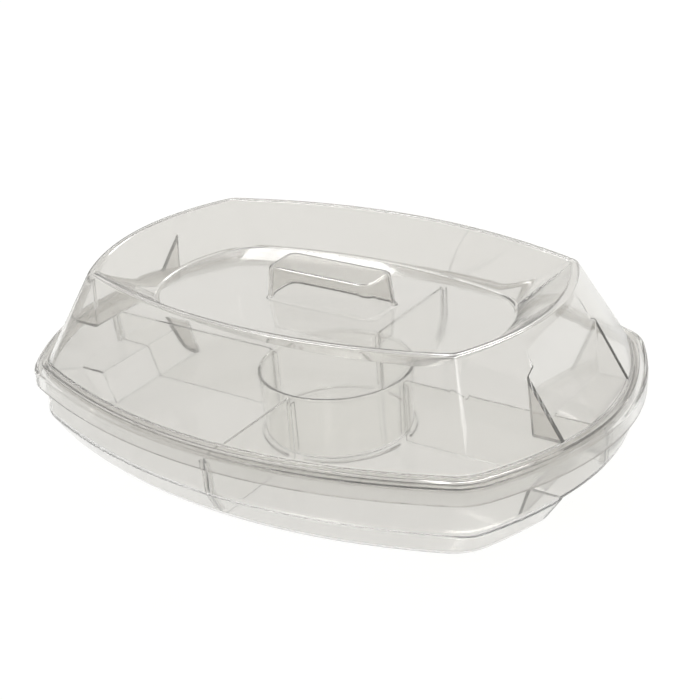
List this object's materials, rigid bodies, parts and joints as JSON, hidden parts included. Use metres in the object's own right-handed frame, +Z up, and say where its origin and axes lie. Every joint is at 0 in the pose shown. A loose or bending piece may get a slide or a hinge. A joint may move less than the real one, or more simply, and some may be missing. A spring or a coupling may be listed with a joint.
{
  "type": "chip and dip server",
  "caption": "Clear plastic chip and dip server: bowed oblong tray with end grips, lift-out divider plates and round dip cup under a sunken-top lid with a block handle.",
  "frame": {"origin": "on the table under the middle of the tray", "axes": "+X along the long direction, +Y along the short direction, +Z up"},
  "size_m": [0.4066, 0.295, 0.1162],
  "materials": {
    "tray_clear_plastic": "polished clear colourless moulded styrene",
    "lid_clear_plastic": "polished clear colourless moulded styrene",
    "cup_clear_plastic": "polished clear colourless moulded styrene",
    "divider_left_clear_plastic": "polished clear colourless moulded styrene",
    "divider_right_clear_plastic": "polished clear colourless moulded styrene",
    "divider_front_clear_plastic": "polished clear colourless moulded styrene",
    "divider_back_clear_plastic": "polished clear colourless moulded styrene"
  },
  "bodies": {
    "tray": {"tray": "tray_clear_plastic"},
    "lid": {"lid": "lid_clear_plastic"},
    "dip_cup": {"dip_cup": "cup_clear_plastic"},
    "divider_left": {"divider_left": "divider_left_clear_plastic"},
    "divider_right": {"divider_right": "divider_right_clear_plastic"},
    "divider_front": {"divider_front": "divider_front_clear_plastic"},
    "divider_back": {"divider_back": "divider_back_clear_plastic"}
  },
  "joints": [
    {"name": "divider_front_lift", "type": "slide", "parent": "tray", "child": "divider_front", "axis": [0, 0, 1], "range_m": [0, 0.06]},
    {"name": "divider_back_lift", "type": "slide", "parent": "divider_front", "child": "divider_back", "axis": [0, 0, 1], "range_m": [0, 0.06]},
    {"name": "divider_left_lift", "type": "slide", "parent": "divider_back", "child": "divider_left", "axis": [0, 0, 1], "range_m": [0, 0.06]},
    {"name": "divider_right_lift", "type": "slide", "parent": "divider_left", "child": "divider_right", "axis": [0, 0, 1], "range_m": [0, 0.06]},
    {"name": "dip_cup_lift", "type": "slide", "parent": "divider_right", "child": "dip_cup", "axis": [0, 0, 1], "range_m": [0, 0.06]},
    {"name": "lid_lift", "type": "slide", "parent": "dip_cup", "child": "lid", "axis": [0, 0, 1], "range_m": [0, 0.12]}
  ]
}
